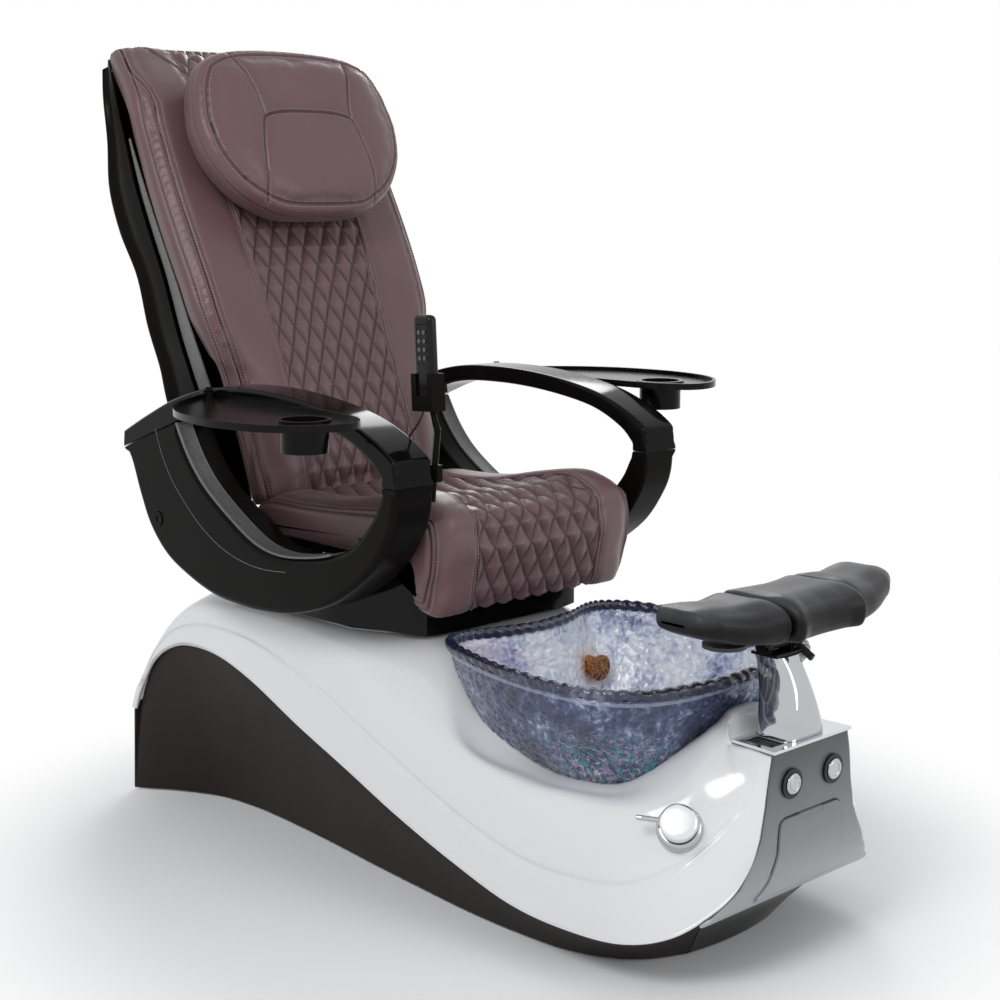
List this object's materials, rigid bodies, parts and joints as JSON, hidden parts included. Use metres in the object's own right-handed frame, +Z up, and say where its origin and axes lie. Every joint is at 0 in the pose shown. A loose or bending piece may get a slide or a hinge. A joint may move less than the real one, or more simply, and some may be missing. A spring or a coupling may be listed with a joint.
{
  "type": "pedicure spa chair",
  "caption": "Pedicure spa chair with a glass foot bowl in a moulded base, and a reclining massage seat on a slide with swing trays.",
  "frame": {"origin": "on the floor at the centre of the base footprint, on the underside of the middle levelling foot", "axes": "+Z up, +X to the left of a person sitting in the chair, -Y the way the sitter faces"},
  "size_m": [1.1292, 1.607, 1.492],
  "materials": {
    "black_gloss": "gloss",
    "black_satin": "satin",
    "shell_white": "gloss",
    "skirt_brown": "matte",
    "panel_grey": "satin gloss",
    "deck_grey": "matte",
    "grained_grey": "grained",
    "leather_brown": "soft satin",
    "pad_black": "fine grain satin",
    "chrome": "polished",
    "steel_dark": "satin paint",
    "steel": "brushed",
    "copper": "satin",
    "bowl_glass": "hammered iridescent gloss",
    "lens_amber": "frosted",
    "rubber": "matte",
    "drain_white": "satin"
  },
  "bodies": {
    "base": {"base_frame": "steel_dark", "levelling_feet": "rubber", "rear_panel": "skirt_brown", "skirt_left": "skirt_brown", "skirt_right": "skirt_brown", "kick_band": "black_gloss", "shell": "shell_white", "deck_plate": "deck_grey", "front_panel": "panel_grey", "collar_plate": "chrome", "button_bezels": "black_gloss", "mixer_flange": "chrome", "supply_pipes": "copper", "bowl": "bowl_glass", "drain_strainer": "chrome", "drain_pipe": "drain_white", "jet_housing": "black_satin", "bowl_light": "lens_amber", "control_box": "black_satin", "footrest_post": "chrome", "footrest_bracket": "black_gloss", "slide_rails": "steel", "seat_actuator": "steel_dark"},
    "door": {"access_door": "panel_grey"},
    "jet_push": {"jet_button": "chrome"},
    "light_push": {"light_button": "chrome"},
    "valve": {"mixer_valve": "black_gloss", "mixer_knob": "chrome"},
    "impeller": {"jet_impeller": "steel"},
    "footrest": {"footrest_carrier": "steel_dark", "pad_left": "pad_black", "pad_center": "pad_black", "pad_right": "pad_black"},
    "clamp": {"footrest_knob": "rubber"},
    "seat": {"slide_carriage": "steel_dark", "seat_plinth": "black_gloss", "seat_pan": "black_satin", "seat_cushion": "leather_brown", "arm_left": "black_gloss", "arm_right": "black_gloss", "cap_left": "black_gloss", "cap_right": "black_gloss", "arm_liners": "grained_grey", "arm_bolts": "black_satin", "tray_pivots": "black_satin", "recline_actuator": "steel_dark", "gooseneck": "black_satin", "handset_cord": "rubber"},
    "tray_l": {"tray_left": "black_gloss"},
    "tray_r": {"tray_right": "black_gloss"},
    "rod": {"recline_rod": "steel"},
    "back": {"back_frame": "steel_dark", "back_shell": "black_gloss", "back_trims": "grained_grey", "back_cushion": "leather_brown", "head_pillow": "leather_brown"},
    "massage": {"massage_carriage": "steel_dark"},
    "rollers": {"massage_rollers": "rubber"},
    "remote": {"handset": "black_gloss", "handset_keys": "black_satin"}
  },
  "joints": [
    {"name": "seat_slide", "type": "slide", "parent": "base", "child": "seat", "axis": [0, -1, 0], "range_m": [-0.055, 0.045]},
    {"name": "recline", "type": "hinge", "parent": "seat", "child": "back", "pos_m": [0, 0.4, 0.52], "axis": [-1, 0, 0], "range_deg": [0, 28]},
    {"name": "recline_drive", "type": "slide", "parent": "seat", "child": "rod", "axis": [0, -1, 0], "range_m": [-0.001, 0.03]},
    {"name": "tray_swing_left", "type": "hinge", "parent": "seat", "child": "tray_l", "pos_m": [0.357, 0.362, 0.8423], "axis": [0, 0, 1], "range_deg": [0, 80]},
    {"name": "tray_swing_right", "type": "hinge", "parent": "seat", "child": "tray_r", "pos_m": [-0.357, 0.362, 0.8423], "axis": [0, 0, -1], "range_deg": [0, 80]},
    {"name": "footrest_tilt", "type": "hinge", "parent": "base", "child": "footrest", "pos_m": [0, -0.654, 0.516], "axis": [1, 0, 0], "range_deg": [-12, 12]},
    {"name": "footrest_clamp", "type": "hinge", "parent": "base", "child": "clamp", "pos_m": [0.04, -0.654, 0.516], "axis": [1, 0, 0], "range_deg": [-30, 60]},
    {"name": "door_drop", "type": "hinge", "parent": "base", "child": "door", "pos_m": [0, -0.70974, 0.134], "axis": [1, 0, 0], "range_deg": [0, 70]},
    {"name": "jet_press", "type": "slide", "parent": "base", "child": "jet_push", "axis": [0, 1, 0], "range_m": [0, 0.003], "stiffness_N_per_m": 600},
    {"name": "light_press", "type": "slide", "parent": "base", "child": "light_push", "axis": [0, 1, 0], "range_m": [0, 0.003], "stiffness_N_per_m": 600},
    {"name": "mixer_turn", "type": "hinge", "parent": "base", "child": "valve", "pos_m": [-0.2028, -0.6389, 0.258], "axis": [-0.6461, -0.4691, 0.6021], "range_deg": [-60, 45]},
    {"name": "jet_spin", "type": "hinge", "parent": "base", "child": "impeller", "pos_m": [0, -0.56242, 0.336], "axis": [0, 1, 0], "continuous": true},
    {"name": "massage_travel", "type": "slide", "parent": "back", "child": "massage", "axis": [0, 0.3939, 0.9191], "range_m": [-0.13, 0.08]},
    {"name": "roller_spin", "type": "hinge", "parent": "massage", "child": "rollers", "pos_m": [0, 0.58095, 1.00819], "axis": [1, 0, 0], "continuous": true},
    {"name": "handset_lift", "type": "slide", "parent": "seat", "child": "remote", "axis": [0, 0.0523, 0.9986], "range_m": [0, 0.12]}
  ],
  "couplings": [
    {"joint": "recline_drive", "follows": "recline", "m_per_rad": 0.053}
  ]
}
